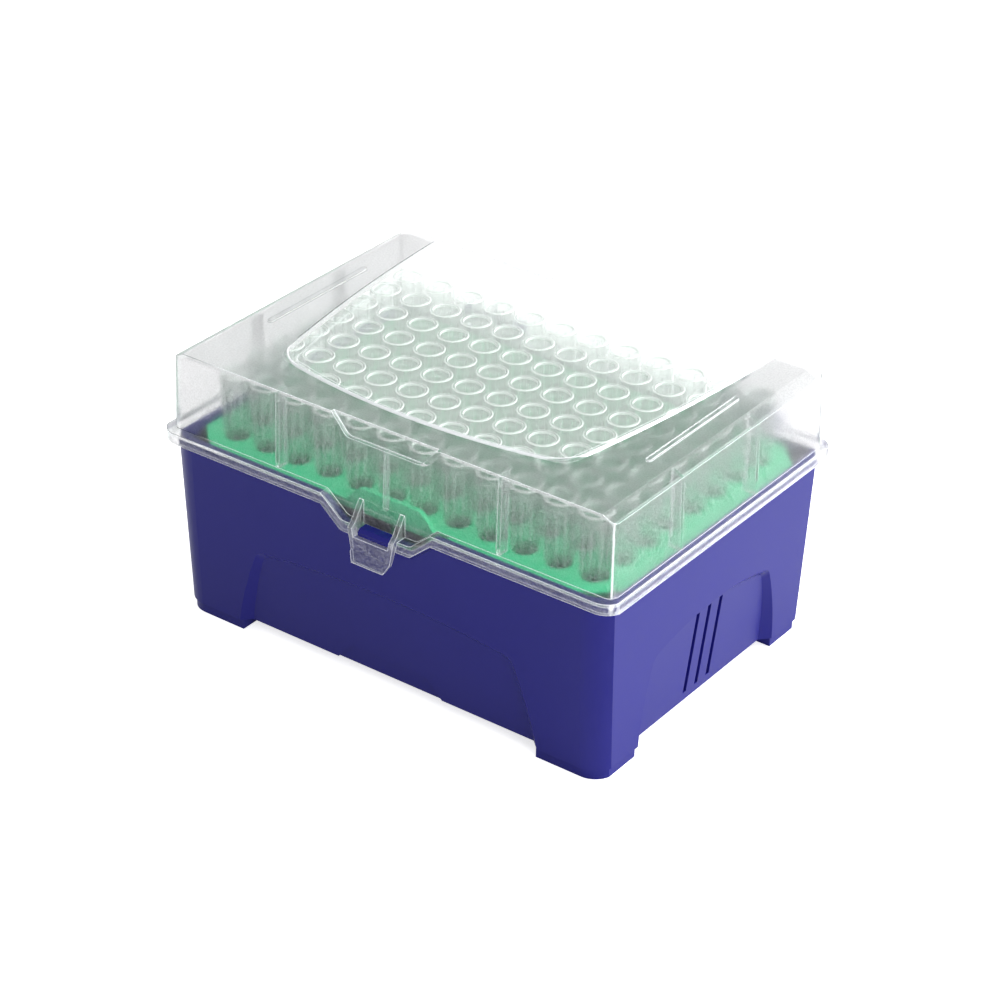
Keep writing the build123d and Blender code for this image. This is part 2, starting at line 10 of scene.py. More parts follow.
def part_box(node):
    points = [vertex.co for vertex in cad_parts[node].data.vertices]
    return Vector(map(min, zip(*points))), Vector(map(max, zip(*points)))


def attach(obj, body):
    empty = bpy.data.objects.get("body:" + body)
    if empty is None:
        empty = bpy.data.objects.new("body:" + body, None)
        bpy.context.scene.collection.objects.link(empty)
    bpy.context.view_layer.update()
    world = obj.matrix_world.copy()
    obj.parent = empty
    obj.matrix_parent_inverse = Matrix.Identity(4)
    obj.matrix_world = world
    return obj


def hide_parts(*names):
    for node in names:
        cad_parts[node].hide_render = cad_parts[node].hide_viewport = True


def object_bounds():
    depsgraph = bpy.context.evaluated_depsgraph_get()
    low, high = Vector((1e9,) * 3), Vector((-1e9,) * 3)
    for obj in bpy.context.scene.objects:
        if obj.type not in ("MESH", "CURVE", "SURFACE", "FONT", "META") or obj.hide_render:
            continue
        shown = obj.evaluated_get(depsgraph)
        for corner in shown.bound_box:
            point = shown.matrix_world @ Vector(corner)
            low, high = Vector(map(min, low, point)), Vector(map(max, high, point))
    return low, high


MM = 0.001

# Camera: turn, rise and roll in degrees, distance in metres, lens and film in millimetres
CAMERA_AZIMUTH = 35.862
CAMERA_ELEVATION = 30.418
CAMERA_ROLL = 1.097
CAMERA_DISTANCE = 0.675
CAMERA_LENS = 108.08
CAMERA_FILM = 36
CAMERA_CLIP = (0.01, 50)
CAMERA_AIM = Vector((0.00866, -0.01286, 0.03882))

# Colours, linear
TUB_BLUE = (0.014, 0.0135, 0.175, 1)
TUB_BLUE_DEEP = (0.010, 0.010, 0.155, 1)
PLATE_GREEN = (0.045, 0.66, 0.31, 1)
PLATE_GREEN_DEEP = (0.035, 0.50, 0.23, 1)
LID_CLEAR = (0.95, 0.97, 0.96, 1)
LID_FROST = (0.81, 0.80, 0.805, 1)
# Tint of the lid's level faces: darker than the walls, a painted shade
LID_FROST_TOP_SHADED = (0.70, 0.705, 0.705, 1)
# White of the lid's milk haze, and of the painted highlight lines along its edges
LID_MILK_AND_HIGHLIGHT = (0.93, 0.94, 0.97, 1)
# Painted shade on those lines at the lid's left end
LID_LINE_PAINTED_SHADE = (0.09, 0.095, 0.10, 1)
# Painted shade on the window's slope where it turns away, and in a line outside its left side
WINDOW_PAINTED_SHADE = (0.36, 0.38, 0.38, 1)
# White of the tips' milk, and of the painted highlights on their rims and spline crests
TIP_MILK_AND_HIGHLIGHT_WHITE = (0.90, 0.92, 0.91, 1)
TIP_CLEAR = (0.92, 0.93, 0.925, 1)
# Painted shade of the tips towards their outlines
TIP_OUTLINE_SHADE = (0.42, 0.46, 0.44, 1)
PASSING_TINT = (0.93, 0.95, 0.94, 1)
FLOOR_WHITE = (0.92, 0.92, 0.92, 1)
SOFT_WHITE = (0.98, 0.99, 1.0, 1)
PLAIN_WHITE = (1, 1, 1, 1)

# Opaque plastics: roughness, size of the grain and strength of its relief
TUB_SURFACE = (0.34, 0.35 * MM, 0.06)
PLATE_SURFACE = (0.4, 0.5 * MM, 0.1)
ROUGHNESS_DRIFT = 0.04           # the roughness wanders this far either way
PLASTIC_SPECULAR = 0.16
GRAIN_RELIEF = 0.05 * MM         # height of the grain on every plastic

# Lid's clear window: half width and place along Y at its back, middle and front
WINDOW_BACK = (48.3 * MM, 37.1 * MM)
WINDOW_MIDDLE = (45.5 * MM, 2.7 * MM)
WINDOW_FRONT = (39.8 * MM, -31.7 * MM)
WINDOW_BOW = 4.9 * MM            # how far its front line bows
WINDOW_CORNER = 6.0 * MM
WINDOW_RISE = 0.5 * MM           # the window stands this far over the lid's top
WINDOW_SKIN = 1.2 * WINDOW_RISE  # painted highlight and shade lines beside it reach no deeper than this
WINDOW_SLOPE = 0.55 * MM         # width of the slope around it
WINDOW_SHADE_LINE_WIDTH = 0.4 * MM           # width of the line of painted shade outside its left side
WINDOW_SHADE_LINE_END = 0.7            # how far forward that line runs, as a share of the window
WINDOW_DEEP = 2.2 * MM           # how far below its top the window's underside may lie
PANE_SHINE = (0.9, 0.08)         # how fast its gloss grows towards a low angle, and the least
PANE_ROUGHNESS = 0.12
PANE_FALL = 3.0                  # how sharply low angles stand out in and around it: its gloss, and the painted shade on its slope

# Lid's frosting
FROST_GRAIN = 0.38 * MM
FROST_CLOUD = 12 * MM
FROST_RIPPLE = 0.15
FROST_IOR = 1.14
WALL_ROUGHNESS = 0.285
TOP_ROUGHNESS = 0.34
FLECK_GRAIN = (0.35, 0.65)       # the grain between these makes the flecks,
FLECK_SHADE = (0.86, 1.10)       # from the darkest to the brightest
MILK_GRAIN = (0.40, 0.64)        # the grain between these makes the milk,
MILK_MOST = 0.12                 # up to this much of it
TOP_MILK = 0.4                   # share of the milk in level faces, less there as painted shade
SKIRT_MILK = 1.5                 # and in the skirt
SKIRT_TOP = 47 * MM              # the skirt and the latch lie below this
SKIRT_STEP = (SKIRT_TOP - MM, SKIRT_TOP)

# Painted highlight lines along the lid's edges, upright corners and window slope, with painted shade
# on them at the left end
EDGE_WIDTH = 0.3 * MM
EDGE_ROUGHNESS = 0.3
PAINTED_HIGHLIGHT_COVER = 0.85
SKIRT_CORNER = 0.25              # share of an upright corner's painted highlight line that is left in the skirt
SLOPE_GAIN = 1.3                 # how fast the painted highlight on the window's slope grows towards the viewer
LINE_SHADE_TO_HIGHLIGHT_X = (-54 * MM, -46 * MM)  # painted shade left of the first, painted highlight right of the second

# Tips' shape
TIP_PITCH = 9 * MM
TIP_SEGMENTS = 40
TIP_SPLINES = 10
RIM_HEIGHT = 2.2 * MM
RIM_CHAMFER = 0.18 * MM
RIM_HIGHLIGHT_FADE = 0.08 * MM             # how far a rim's painted highlight fades
RIM_UNDERCUT = 0.3 * MM          # height of the slope under the rim
HUB_SLIMMER = 0.55 * MM          # hub inside the rim's outline
HUB_TAPER = 0.05 * MM
SPLINE_RISE = 0.40 * MM
SPLINE_HIGHLIGHT = 0.38               # how bright the painted highlight on a spline's crest is beside a rim's
SPLINE_FOOT = 0.8 * MM           # splines start this far over the plate
MOUTH_WALL = 0.9 * MM
MOUTH_HIGHLIGHT_DEPTH = 0.4 * MM            # how far down the painted highlight inside the mouth reaches
MOUTH_DEPTH = 9.0 * MM
MOUTH_TAPER = 0.45 * MM
SEAT_STEP = 0.25 * MM            # seat on the plate inside the hub
STEM_STEP = 0.35 * MM            # stem inside the seat
STEM_WALL = 0.45 * MM
STEM_BORE = 2 * MM               # the stem's bore starts this far under the deck
SEAT_GAP = 0.02 * MM             # the seat ends this far over the deck
POINT_RADIUS = 0.6 * MM
POINT_WALL = 0.3 * MM
SHARP_ANGLE = math.radians(35)
DECK_FROM = 30 * MM              # the deck's height is read beyond this, to either side

# Tips' plastic
TIP_GRAIN = 0.4 * MM
TIP_CLOUD = 5 * MM
TIP_MILK = (0.02, 0.05)
TIP_SHINE = (0.3, 0.04)          # how fast the gloss grows towards a low angle, and the least
TIP_FALL = 2.5                   # how sharply low angles stand out
TIP_GLOSS = 0.1
TIP_ROUGHNESS = 0.25
TIP_HIGHLIGHT_COVER = 0.85

# Setting
CLEAR_LAYERS = 64                # see-through walls that light may pass on its way
FLOOR_HALF = 6.0
FLOOR_ROUGHNESS = 0.9
FLOOR_GLOW = (0.5, 0.2)          # seen straight from the camera, and wherever it shows
SOFT_LIGHT = 0.42
LAMPS = (
    # name, place, point it faces, width and height, watts
    ("back panel", (-0.42, 0.60, 0.385), (-0.42, 0, 0.385), (0.9, 0.09), 0.45),
    ("high panel", (-0.42, 0.60, 0.62), (-0.42, 0, 0.62), (1.2, 0.34), 0.6),
    ("side light", (0.80, 0.92, 0.66), (0, 0, 0.03), (1.1, 1.1), 33.0),
    ("right fill", (0.90, -0.35, 0.40), (0, 0, 0.03), (0.4, 0.4), 4.0),
    ("top light", (-0.1, -0.1, 0.9), (0, 0, 0.05), (0.3, 0.3), 2.2),
)


# Nodes

def add(tree, kind, inputs=(), **settings):
    """A node with its settings, and values or links on its inputs."""
    node = tree.nodes.new(kind)
    for name, value in settings.items():
        setattr(node, name, value)
    for name, value in dict(inputs).items():
        if isinstance(value, bpy.types.NodeSocket):
            tree.links.new(value, node.inputs[name])
        else:
            node.inputs[name].default_value = value
    return node


def work_out(tree, operation, *values, **settings):
    """The result of one operation on numbers or links."""
    inputs = enumerate(values)
    return add(tree, "ShaderNodeMath", inputs, operation=operation, **settings).outputs[0]


def spread(tree, value, low, high, start=0.0, end=1.0):
    """A value that goes from start to end, spread from low to high."""
    return add(tree, "ShaderNodeMapRange", {
        "Value": value, "From Min": start, "From Max": end, "To Min": low, "To Max": high,
    }).outputs[0]


def mix_colours(tree, share, first, second):
    """Two colours mixed by the second one's share."""
    return add(tree, "ShaderNodeMix", {
        "Factor": share, "A": first, "B": second,
    }, data_type="RGBA").outputs["Result"]


def mix_shaders(tree, share, first, second):
    """Two shaders mixed by the second one's share."""
    return add(tree, "ShaderNodeMixShader", {0: share, 1: first, 2: second}).outputs[0]


def shader(tree, kind, inputs):
    """A surface shader with values or links on its inputs."""
    return add(tree, f"ShaderNodeBsdf{kind}", inputs).outputs[0]


def object_place(tree):
    """The place on the object, as its X, Y and Z."""
    place = add(tree, "ShaderNodeTexCoord").outputs["Object"]
    return add(tree, "ShaderNodeSeparateXYZ", {0: place}).outputs


def surface_normal(tree):
    """The surface's normal, as its X, Y and Z."""
    normal = add(tree, "ShaderNodeNewGeometry").outputs["Normal"]
    return add(tree, "ShaderNodeSeparateXYZ", {0: normal}).outputs


def slant_to_view(tree):
    """Nothing where the surface faces the viewer, one where it is edge on."""
    return add(tree, "ShaderNodeLayerWeight", {"Blend": 0.5}).outputs["Facing"]


def all_true(tree, tests):
    """One where every test holds: value, limit and the comparison between them."""
    held = None
    for value, limit, operation in tests:
        result = work_out(tree, operation, value, limit)
        held = result if held is None else work_out(tree, "MULTIPLY", held, result)
    return held


def new_group(name, kind, inputs, outputs):
    """A node group with its input and output nodes."""
    group = bpy.data.node_groups.new(name, kind)
    for label, socket, value in inputs:
        made = group.interface.new_socket(label, in_out="INPUT", socket_type=socket)
        if value is not None:
            made.default_value = value
    for label, socket in outputs:
        group.interface.new_socket(label, in_out="OUTPUT", socket_type=socket)
    return group, group.nodes.new("NodeGroupInput"), group.nodes.new("NodeGroupOutput")


def new_material(name):
    """An empty node material with its tree and output."""
    material = bpy.data.materials.new(name)
    material.use_nodes = True
    tree = material.node_tree
    tree.nodes.clear()
    return material, tree, tree.nodes.new("ShaderNodeOutputMaterial")


# Shared effects

def moulded_grain_group():
    """Fine grain and slow cloudiness of moulded plastic, on object coordinates."""
    group, given, result = new_group(
        "moulded grain",
        "ShaderNodeTree",
        [("Grain Size", "NodeSocketFloat", 0.3 * MM), ("Cloud Size", "NodeSocketFloat", 20 * MM)],
        [("Grain", "NodeSocketFloat"), ("Cloud", "NodeSocketFloat")],
    )
    place = add(group, "ShaderNodeTexCoord").outputs["Object"]
    for label, detail in (("Grain", 2.0), ("Cloud", 3.0)):
        scale = work_out(group, "DIVIDE", 1.0, given.outputs[f"{label} Size"])
        noise = add(group, "ShaderNodeTexNoise", {
            "Vector": place, "Scale": scale, "Detail": detail,
        })
        group.links.new(noise.outputs["Fac"], result.inputs[label])
    return group


def window_side(group, y):
    """The window's half width at a place along Y, on a curve through its three given ones."""
    (back_half, back), (middle_half, middle) = WINDOW_BACK, WINDOW_MIDDLE
    front_half = WINDOW_FRONT[0]
    reach = back - middle
    slope = (back_half - front_half) / (2 * reach)
    curve = (back_half + front_half - 2 * middle_half) / (2 * reach * reach)
    along = work_out(group, "SUBTRACT", y, middle)
    turned = work_out(group, "MULTIPLY_ADD", along, curve, slope)
    return work_out(group, "MULTIPLY_ADD", along, turned, middle_half)


def window_front(group, aside):
    """The window's bowed front line, at a distance to either side of the middle."""
    front_half, front = WINDOW_FRONT
    square = work_out(group, "MULTIPLY", aside, aside)
    bow = WINDOW_BOW / front_half ** 2
    return work_out(group, "MULTIPLY_ADD", square, bow, front - WINDOW_BOW)


def window_shape_group():
    """Masks of the lid's clear window, its slope, the border along it, and the line of painted shade
    outside its left side.
    """
    group, given, result = new_group(
        "window shape",
        "ShaderNodeTree",
        [("Top", "NodeSocketFloat", 67.8 * MM)],
        [(name, "NodeSocketFloat") for name in ("Mask", "Slope", "Border", "Foot")],
    )
    place = object_place(group)
    x, y, z = place["X"], place["Y"], place["Z"]
    back, front = WINDOW_BACK[1], WINDOW_FRONT[1]
    aside = work_out(group, "ABSOLUTE", x)
    short = []
    for near, far in ((aside, window_side(group, y)), (window_front(group, aside), y)):
        inside = work_out(group, "SUBTRACT", far, near)
        left = work_out(group, "SUBTRACT", WINDOW_CORNER, inside)
        kept = work_out(group, "MAXIMUM", left, 0.0)
        short.append(work_out(group, "POWER", kept, 2.0))
    outward = work_out(group, "SQRT", work_out(group, "ADD", *short))
    below = work_out(group, "SUBTRACT", given.outputs["Top"], z)
    within = all_true(group, ((outward, WINDOW_CORNER, "LESS_THAN"), (y, back, "LESS_THAN")))
    masks = {
        "Mask": (
            (within, 0.5, "GREATER_THAN"),
            (below, WINDOW_DEEP, "LESS_THAN"),
        ),
        "Slope": (
            (within, 0.5, "GREATER_THAN"),
            (outward, WINDOW_CORNER - WINDOW_SLOPE, "GREATER_THAN"),
            (below, WINDOW_RISE, "LESS_THAN"),
        ),
        "Border": (
            (outward, WINDOW_CORNER - 2 * WINDOW_SLOPE, "GREATER_THAN"),
            (outward, WINDOW_CORNER + WINDOW_SLOPE, "LESS_THAN"),
            (below, WINDOW_SKIN, "LESS_THAN"),
        ),
        "Foot": (
            (outward, WINDOW_CORNER, "GREATER_THAN"),
            (outward, WINDOW_CORNER + WINDOW_SHADE_LINE_WIDTH, "LESS_THAN"),
            (x, 0.0, "LESS_THAN"),
            (y, WINDOW_SHADE_LINE_END * front, "GREATER_THAN"),
            (y, back, "LESS_THAN"),
            (below, WINDOW_SKIN, "LESS_THAN"),
        ),
    }
    for name, tests in masks.items():
        group.links.new(all_true(group, tests), result.inputs[name])
    return group


def edge_highlight_group():
    """Mask of a part's edges, where highlight lines are painted, from how far the rounded normal
    turns from the true one.
    """
    group, given, result = new_group(
        "edge line",
        "ShaderNodeTree",
        [
            ("Width", "NodeSocketFloat", 0.4 * MM),
            ("Least Turn", "NodeSocketFloat", 0.02),
            ("Full Turn", "NodeSocketFloat", 0.08),
        ],
        [("Mask", "NodeSocketFloat")],
    )
    rounded = add(group, "ShaderNodeBevel", {"Radius": given.outputs["Width"]}, samples=10)
    true = add(group, "ShaderNodeNewGeometry")
    dot = add(group, "ShaderNodeVectorMath", {
        0: rounded.outputs["Normal"], 1: true.outputs["Normal"],
    }, operation="DOT_PRODUCT")
    turn = work_out(group, "SUBTRACT", 1.0, dot.outputs["Value"])
    mask = spread(group, turn, 0.0, 1.0, given.outputs["Least Turn"], given.outputs["Full Turn"])
    group.links.new(mask, result.inputs["Mask"])
    return group


def corner_highlight_group():
    """Mask of a narrow painted highlight line down the middle of each upright rounded corner."""
    group, given, result = new_group(
        "corner line",
        "ShaderNodeTree",
        [("Least", "NodeSocketFloat", 0.482), ("Full", "NodeSocketFloat", 0.498)],
        [("Mask", "NodeSocketFloat")],
    )
    facing = surface_normal(group)
    turned = work_out(group, "MULTIPLY", facing["X"], facing["Y"])
    size = work_out(group, "ABSOLUTE", turned)
    mask = spread(group, size, 0.0, 1.0, given.outputs["Least"], given.outputs["Full"])
    group.links.new(mask, result.inputs["Mask"])
    return group


def use_group(tree, group, **values):
    """A group placed in a material with its own values."""
    node = add(tree, "ShaderNodeGroup", node_tree=group)
    for name, value in values.items():
        node.inputs[name.replace("_", " ").title()].default_value = value
    return node.outputs


def let_light_through(tree, surface, output):
    """Ends a material: lamps' and diffuse light pass straight through its surface."""
    path = add(tree, "ShaderNodeLightPath").outputs
    passing = work_out(tree, "MAXIMUM", path["Is Shadow Ray"], path["Is Diffuse Ray"])
    open_air = shader(tree, "Transparent", {"Color": PASSING_TINT})
    tree.links.new(mix_shaders(tree, passing, surface, open_air), output.inputs["Surface"])


# Finishes

def opaque_plastic(name, light, deep, grain, surface):
    """Moulded plastic with a slow change of shade and a fine grain."""
    roughness, grain_size, bump = surface
    material, tree, output = new_material(name)
    effect = use_group(tree, grain, grain_size=grain_size)
    relief = add(tree, "ShaderNodeBump", {
        "Height": effect["Grain"], "Strength": bump, "Distance": GRAIN_RELIEF,
    }).outputs[0]
    least, most = roughness - ROUGHNESS_DRIFT, roughness + ROUGHNESS_DRIFT
    plastic = shader(tree, "Principled", {
        "Base Color": mix_colours(tree, effect["Cloud"], deep, light),
        "Roughness": spread(tree, effect["Cloud"], least, most),
        "Normal": relief,
        "Specular IOR Level": PLASTIC_SPECULAR,
    })
    tree.links.new(plastic, output.inputs["Surface"])
    return material


def window_pane(tree, steep):
    """The lid's clear window, glossier towards a low angle."""
    shine = work_out(tree, "MULTIPLY_ADD", steep, *PANE_SHINE)
    clear = shader(tree, "Transparent", {"Color": LID_CLEAR})
    gloss = shader(tree, "Anisotropic", {"Roughness": PANE_ROUGHNESS})
    return mix_shaders(tree, shine, clear, gloss)


def frosted_sheet(tree, effect, z):
    """The lid's frosted walls and top: flecked, with a little milk, and more of it in the skirt;
    level faces get a darker tint and less milk as painted shade.
    """
    grain = effect["Grain"]
    ripple = add(tree, "ShaderNodeBump", {
        "Height": grain, "Strength": FROST_RIPPLE, "Distance": GRAIN_RELIEF,
    }).outputs[0]
    # Painted shade: level faces get a darker tint and less milk than the walls
    level = work_out(tree, "ABSOLUTE", surface_normal(tree)["Z"])
    level_shaded_tone = mix_colours(tree, level, LID_FROST, LID_FROST_TOP_SHADED)
    fleck = spread(tree, grain, *FLECK_SHADE, *FLECK_GRAIN)
    flecked = add(tree, "ShaderNodeVectorMath", {0: level_shaded_tone, "Scale": fleck}, operation="SCALE")
    cast = shader(tree, "Principled", {
        "Normal": ripple,
        "Base Color": flecked.outputs[0],
        "Roughness": spread(tree, level, WALL_ROUGHNESS, TOP_ROUGHNESS),
        "IOR": FROST_IOR,
        "Transmission Weight": 1.0,
    })
    haze = shader(tree, "Principled", {"Base Color": LID_MILK_AND_HIGHLIGHT, "Roughness": EDGE_ROUGHNESS})
    speckle = spread(tree, grain, 0.0, MILK_MOST, *MILK_GRAIN)
    level_milk_shade = spread(tree, level, 1.0, TOP_MILK)
    milkier = spread(tree, z, SKIRT_MILK, 1.0, *SKIRT_STEP)
    share = work_out(tree, "MULTIPLY", level_milk_shade, milkier)
    return mix_shaders(tree, work_out(tree, "MULTIPLY", speckle, share), cast, haze)


def painted_highlight_cover(tree, window, edge, corner, slant, z):
    """How much of the lid is covered by painted highlight lines: edges, upright corners and the
    window's slope where it faces the viewer.
    """
    off_border = work_out(tree, "SUBTRACT", 1.0, window["Border"])
    edges = use_group(tree, edge, width=EDGE_WIDTH)["Mask"]
    upright = spread(tree, z, SKIRT_CORNER, 1.0, *SKIRT_STEP)
    # The window's slope gets a painted highlight where it faces the viewer
    towards = work_out(tree, "SUBTRACT", 1.0, slant)
    bright = work_out(tree, "MULTIPLY", towards, SLOPE_GAIN, use_clamp=True)
    line = work_out(tree, "MULTIPLY", edges, off_border)
    corner_highlight = work_out(tree, "MULTIPLY", use_group(tree, corner)["Mask"], upright)
    lit = work_out(tree, "MULTIPLY", window["Slope"], bright)
    for other in (corner_highlight, lit):
        line = work_out(tree, "MAXIMUM", line, other)
    return work_out(tree, "MULTIPLY", line, PAINTED_HIGHLIGHT_COVER)


def highlight_and_shade_plastic(tree, x, z):
    """The painted lines' colour: a painted highlight, but painted shade (dark) above the skirt at the
    left end.
    """
    leftward = spread(tree, x, 1.0, 0.0, *LINE_SHADE_TO_HIGHLIGHT_X)
    above = work_out(tree, "GREATER_THAN", z, SKIRT_TOP)
    darker = work_out(tree, "MULTIPLY", leftward, above)
    line_highlight_or_shade_colour = mix_colours(tree, darker, LID_MILK_AND_HIGHLIGHT, LID_LINE_PAINTED_SHADE)
    return shader(tree, "Principled", {"Base Color": line_highlight_or_shade_colour, "Roughness": EDGE_ROUGHNESS})


def lid_plastic(grain, edge, corner, window_shape, top):
    """See-through plastic: frosted, with a clear glossy window, painted highlight lines along its
    edges, and painted shade beside the window.
    """
    material, tree, output = new_material("lid plastic")
    effect = use_group(tree, grain, grain_size=FROST_GRAIN, cloud_size=FROST_CLOUD)
    window = use_group(tree, window_shape, top=top)
    place = object_place(tree)
    slant = slant_to_view(tree)
    steep = work_out(tree, "POWER", slant, PANE_FALL)
    frosted = frosted_sheet(tree, effect, place["Z"])
    sheet = mix_shaders(tree, window["Mask"], frosted, window_pane(tree, steep))
    # Painted shade: the window's slope turns dark where it faces away from the viewer, and a dark
    # line lies outside its left side
    turned = work_out(tree, "MULTIPLY", window["Slope"], steep)
    painted_shade_share = work_out(tree, "MAXIMUM", turned, window["Foot"])
    shade = shader(tree, "Transparent", {"Color": WINDOW_PAINTED_SHADE})
    sheet = mix_shaders(tree, painted_shade_share, sheet, shade)
    lines = painted_highlight_cover(tree, window, edge, corner, slant, place["Z"])
    highlight_plastic = highlight_and_shade_plastic(tree, place["X"], place["Z"])
    let_light_through(tree, mix_shaders(tree, lines, sheet, highlight_plastic), output)
    return material


def tip_plastic(grain):
    """Thin natural plastic: see-through face on, with painted shade darker towards the outline and
    painted highlights bright on the rims and spline crests.
    """
    material, tree, output = new_material("tip plastic")
    effect = use_group(tree, grain, grain_size=TIP_GRAIN, cloud_size=TIP_CLOUD)
    steep = work_out(tree, "POWER", slant_to_view(tree), TIP_FALL)
    milk = spread(tree, effect["Cloud"], *TIP_MILK)
    # Painted highlight on the rims, mouths and spline crests, read from the tip mesh
    rim = add(tree, "ShaderNodeAttribute", attribute_name="rim line").outputs["Fac"]
    line = work_out(tree, "MULTIPLY", rim, TIP_HIGHLIGHT_COVER)
    cover = work_out(tree, "MAXIMUM", milk, line)
    shine = work_out(tree, "MULTIPLY_ADD", steep, *TIP_SHINE)
    # Painted shade: the see-through tint darkens where the surface turns edge on
    depth = mix_colours(tree, steep, TIP_CLEAR, TIP_OUTLINE_SHADE)
    open_air = shader(tree, "Transparent", {"Color": depth})
    gloss = shader(tree, "Anisotropic", {"Roughness": TIP_GLOSS})
    natural = shader(tree, "Principled", {"Base Color": TIP_MILK_AND_HIGHLIGHT_WHITE, "Roughness": TIP_ROUGHNESS})
    clear = mix_shaders(tree, shine, open_air, gloss)
    let_light_through(tree, mix_shaders(tree, cover, clear, natural), output)
    return material


def background_rays(tree):
    """One for a ray straight from the camera, off a shiny surface or through a see-through one."""
    path = add(tree, "ShaderNodeLightPath").outputs
    pair = work_out(tree, "MAXIMUM", path["Is Camera Ray"], path["Is Glossy Ray"])
    return work_out(tree, "MAXIMUM", pair, path["Is Transmission Ray"])


def floor_paint():
    """White floor that keeps the shadow, and reads as plain white where it is lit."""
    straight, shown = FLOOR_GLOW
    material, tree, output = new_material("floor paint")
    paint = shader(tree, "Principled", {"Base Color": FLOOR_WHITE, "Roughness": FLOOR_ROUGHNESS})
    seen = add(tree, "ShaderNodeLightPath").outputs["Is Camera Ray"]
    through = work_out(tree, "MULTIPLY", background_rays(tree), shown)
    glow = work_out(tree, "MULTIPLY_ADD", seen, straight, through)
    lift = add(tree, "ShaderNodeEmission", {"Strength": glow}).outputs[0]
    total = add(tree, "ShaderNodeAddShader", {0: paint, 1: lift}).outputs[0]
    tree.links.new(total, output.inputs["Surface"])
    return material


def finish_node(name, material):
    """Gives a carried-over node its material."""
    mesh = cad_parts[name].data
    mesh.materials.clear()
    mesh.materials.append(material)


# Tips

def tip_sections(hub, plate_top):
    """One tip's outline, down outside and up inside: radius, height, spline, and strength of the
    painted highlight on the rim.
    """
    low, high = hub
    rim = (high.x - low.x) / 2
    top, point = high.z, low.z
    shoulder = rim - RIM_CHAMFER
    neck = top - RIM_CHAMFER
    body = rim - HUB_SLIMMER
    seat = body - SEAT_STEP
    stem = seat - STEM_STEP
    bore = rim - MOUTH_WALL
    # The last number of each section is the strength of the painted highlight there
    return [
        (shoulder - 2 * RIM_HIGHLIGHT_FADE, top, 0, 0),
        (shoulder - RIM_HIGHLIGHT_FADE, top, 0, 0.8),
        (shoulder, top, 0, 0.8),
        (rim, neck, 0, 0.8),
        (rim, neck - RIM_HIGHLIGHT_FADE, 0, 0),
        (rim, top - RIM_HEIGHT, 0, 0.3),
        (body, top - RIM_HEIGHT - RIM_UNDERCUT, 1, 0),
        (body - HUB_TAPER, (top + plate_top) / 2, 1, 0),
        (seat, plate_top + SPLINE_FOOT, 1, 0),
        (seat, plate_top + 0.5 * SPLINE_FOOT, 0, 0),
        (seat - HUB_TAPER, plate_top + SEAT_GAP, 0, 0),
        (stem, plate_top, 0, 0),
        (POINT_RADIUS, point, 0, 0),
        (POINT_RADIUS - POINT_WALL, point, 0, 0),
        (stem - STEM_WALL, plate_top - STEM_BORE, 0, 0),
        (bore - MOUTH_TAPER, top - MOUTH_DEPTH, 0, 0),
        (bore, neck - MOUTH_HIGHLIGHT_DEPTH - RIM_HIGHLIGHT_FADE, 0, 0),
        (bore, neck - MOUTH_HIGHLIGHT_DEPTH, 0, 1),
        (bore, neck, 0, 1),
        (bore + RIM_CHAMFER, top, 0, 0.6),
        (bore + RIM_CHAMFER + RIM_HIGHLIGHT_FADE, top, 0, 0),
    ]


def tip_mesh(name, sections):
    """One tip on its own axis: rings of points, pushed out where a spline runs."""
    shape = bmesh.new()
    line = shape.verts.layers.float.new("rim line")
    rings = []
    for radius, z, spline, rim_highlight in sections:
        ring = []
        for k in range(TIP_SEGMENTS):
            angle = 2 * math.pi * k / TIP_SEGMENTS
            on_spline = k % (TIP_SEGMENTS // TIP_SPLINES) == 0
            r = radius + spline * SPLINE_RISE * on_spline
            point = shape.verts.new((r * math.cos(angle), r * math.sin(angle), z))
            point[line] = max(rim_highlight, SPLINE_HIGHLIGHT * spline * on_spline)
            ring.append(point)
        rings.append(ring)
    for upper, lower in zip(rings, rings[1:] + rings[:1]):
        for k in range(TIP_SEGMENTS):
            after = (k + 1) % TIP_SEGMENTS
            shape.faces.new((upper[k], lower[k], lower[after], upper[after]))
    bmesh.ops.recalc_face_normals(shape, faces=shape.faces)
    mesh = bpy.data.meshes.new(name)
    shape.to_mesh(mesh)
    shape.free()
    return mesh


def column_tree():
    """Geometry nodes: one column of tips, evenly spaced from the first."""
    tree, given, result = new_group(
        "tip column",
        "GeometryNodeTree",
        [
            ("Tip", "NodeSocketObject", None),
            ("Count", "NodeSocketInt", 8),
            ("First", "NodeSocketVector", None),
            ("Pitch", "NodeSocketFloat", TIP_PITCH),
            ("Finish", "NodeSocketMaterial", None),
        ],
        [("Geometry", "NodeSocketGeometry")],
    )
    step = add(tree, "ShaderNodeCombineXYZ", {"Y": given.outputs["Pitch"]})
    places = add(tree, "GeometryNodeMeshLine", {
        "Count": given.outputs["Count"],
        "Start Location": given.outputs["First"],
        "Offset": step.outputs[0],
    }, mode="OFFSET")
    shape = add(tree, "GeometryNodeObjectInfo", {"Object": given.outputs["Tip"]})
    copies = add(tree, "GeometryNodeInstanceOnPoints", {
        "Points": places.outputs["Mesh"], "Instance": shape.outputs["Geometry"],
    })
    real = add(tree, "GeometryNodeRealizeInstances", {"Geometry": copies.outputs[0]})
    finished = add(tree, "GeometryNodeSetMaterial", {
        "Geometry": real.outputs[0], "Material": given.outputs["Finish"],
    })
    tree.links.new(finished.outputs[0], result.inputs["Geometry"])
    return tree


def set_inputs(modifier, **values):
    """Sets a geometry nodes modifier's inputs by their sockets' identifiers."""
    for item in modifier.node_group.interface.items_tree:
        key = item.name.lower()
        if item.in_out == "INPUT" and key in values:
            modifier[item.identifier] = values[key]


